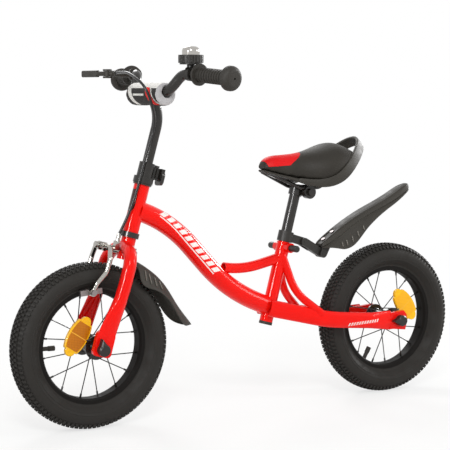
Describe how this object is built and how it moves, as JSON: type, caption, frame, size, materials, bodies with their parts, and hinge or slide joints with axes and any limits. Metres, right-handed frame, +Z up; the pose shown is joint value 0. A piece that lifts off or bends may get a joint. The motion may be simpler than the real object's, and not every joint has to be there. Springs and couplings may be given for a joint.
{
  "type": "balance bike",
  "caption": "Child's balance bike with a curved steel frame, spoked air tyres, hand-operated front rim brake, padded handlebar, bell, adjustable saddle and mudguards.",
  "frame": {"origin": "on the ground in the bike's centre plane, midway between the axles", "axes": "+X forward, +Y the rider's left, +Z up"},
  "size_m": [0.9698, 0.443, 0.6917],
  "materials": {
    "red_paint": "gloss enamel",
    "black_paint": "satin enamel",
    "black_plastic": "moulded, fine grain",
    "zinc_steel": "bright zinc",
    "chrome": "polished",
    "amber_plastic": "clear-coated prism",
    "tyre_rubber": "moulded tread",
    "black_rubber": "moulded",
    "shoe_alloy": "plain",
    "cable_sheath": "smooth sheath",
    "saddle_vinyl": "grained vinyl",
    "pad_fabric": "printed cover over foam"
  },
  "bodies": {
    "frame": {"head_tube": "red_paint", "headset_cups": "black_paint", "down_tube": "red_paint", "brace_tube": "red_paint", "seat_tube": "red_paint", "seat_tube_plug": "black_plastic", "seat_clamp_lug": "red_paint", "seat_clamp_bolts": "black_plastic", "chain_stay_left": "red_paint", "chain_stay_right": "red_paint", "seat_stays": "red_paint", "rear_axle": "zinc_steel", "rear_axle_nuts": "black_plastic"},
    "fork": {"fork_steerer": "red_paint", "fork_leg_left": "red_paint", "fork_leg_right": "red_paint", "front_axle": "zinc_steel", "front_axle_nuts": "black_plastic", "front_mudguard": "black_plastic", "brake_bolt": "chrome", "brake_cable": "cable_sheath", "stem_collar": "black_paint"},
    "collar_lever": {"collar_lever": "black_paint"},
    "handlebar": {"stem_tube": "black_paint", "handlebar": "black_paint", "bar_pad": "pad_fabric", "grip_left": "black_rubber", "grip_right": "black_rubber", "bell_base": "black_plastic", "bell_dome": "chrome", "lever_bracket": "black_plastic"},
    "bell_ring": {"bell_ring": "black_plastic"},
    "brake_lever": {"brake_lever": "black_plastic"},
    "brake_arm_left": {"brake_arm_left": "chrome", "brake_shoe_left": "shoe_alloy"},
    "brake_arm_right": {"brake_arm_right": "chrome", "brake_shoe_right": "shoe_alloy"},
    "front_wheel": {"front_tyre": "tyre_rubber", "front_inner_tube": "black_rubber", "front_rim": "black_paint", "front_spokes": "black_paint", "front_hub": "black_paint", "front_reflector": "amber_plastic"},
    "rear_wheel": {"rear_tyre": "tyre_rubber", "rear_inner_tube": "black_rubber", "rear_rim": "black_paint", "rear_spokes": "black_paint", "rear_hub": "black_paint", "rear_reflector": "amber_plastic"},
    "seat_post": {"seat_post": "black_paint", "saddle_clamp": "black_paint", "mudguard_strap": "black_plastic"},
    "saddle": {"saddle_shell": "black_plastic", "saddle_pad": "saddle_vinyl", "saddle_rails": "black_paint", "saddle_jaws": "black_paint"},
    "mudguard_link": {"mudguard_link": "black_plastic"},
    "rear_guard": {"mudguard_foot": "black_plastic", "rear_mudguard": "black_plastic", "mudguard_screws": "zinc_steel"}
  },
  "joints": [
    {"name": "steering", "type": "hinge", "parent": "frame", "child": "fork", "pos_m": [0.2485, 0, 0.355], "axis": [-0.2714, 0, 0.9625], "range_deg": [-60, 60]},
    {"name": "front_wheel_spin", "type": "hinge", "parent": "fork", "child": "front_wheel", "pos_m": [0.3325, 0, 0.1525], "axis": [0, 1, 0], "continuous": true},
    {"name": "rear_wheel_spin", "type": "hinge", "parent": "frame", "child": "rear_wheel", "pos_m": [-0.3325, 0, 0.1525], "axis": [0, 1, 0], "continuous": true},
    {"name": "stem_height", "type": "slide", "parent": "fork", "child": "handlebar", "axis": [-0.2714, 0, 0.9625], "range_m": [-0.04, 0.03], "deforming": ["brake_cable"]},
    {"name": "collar_lever_turn", "type": "hinge", "parent": "fork", "child": "collar_lever", "pos_m": [0.19633, -0.008, 0.46263], "axis": [-0.2714, 0, 0.9625], "range_deg": [0, 110]},
    {"name": "bell_ring_twist", "type": "hinge", "parent": "handlebar", "child": "bell_ring", "pos_m": [0.18283, 0.10846, 0.67], "axis": [0, 0, 1], "range_deg": [-30, 30], "stiffness_Nm_per_rad": 0.1},
    {"name": "brake_lever_pull", "type": "hinge", "parent": "handlebar", "child": "brake_lever", "pos_m": [0.232, -0.126, 0.645], "axis": [0, 0, -1], "range_deg": [0, 25], "stiffness_Nm_per_rad": 0.6},
    {"name": "brake_arm_left_close", "type": "hinge", "parent": "fork", "child": "brake_arm_left", "pos_m": [0.25854, 0, 0.31939], "axis": [-0.9625, 0, -0.2714], "range_deg": [0, 1.4]},
    {"name": "brake_arm_right_close", "type": "hinge", "parent": "fork", "child": "brake_arm_right", "pos_m": [0.25854, 0, 0.31939], "axis": [0.9625, 0, 0.2714], "range_deg": [0, 1.4]},
    {"name": "seat_height", "type": "slide", "parent": "frame", "child": "seat_post", "axis": [-0.2588, 0, 0.9659], "range_m": [0, 0.055]},
    {"name": "saddle_tilt", "type": "hinge", "parent": "seat_post", "child": "saddle", "pos_m": [-0.131, 0, 0.417], "axis": [0, 1, 0], "range_deg": [-8, 8]},
    {"name": "mudguard_link_fold", "type": "hinge", "parent": "seat_post", "child": "mudguard_link", "pos_m": [-0.131, 0, 0.318], "axis": [0, 1, 0], "range_deg": [-8, 10]},
    {"name": "rear_guard_tilt", "type": "hinge", "parent": "mudguard_link", "child": "rear_guard", "pos_m": [-0.176, 0, 0.292], "axis": [0, 1, 0], "range_deg": [-8, 8]}
  ],
  "couplings": [
    {"joint": "brake_arm_left_close", "follows": "brake_lever_pull", "ratio": 0.056},
    {"joint": "brake_arm_right_close", "follows": "brake_lever_pull", "ratio": 0.056}
  ]
}
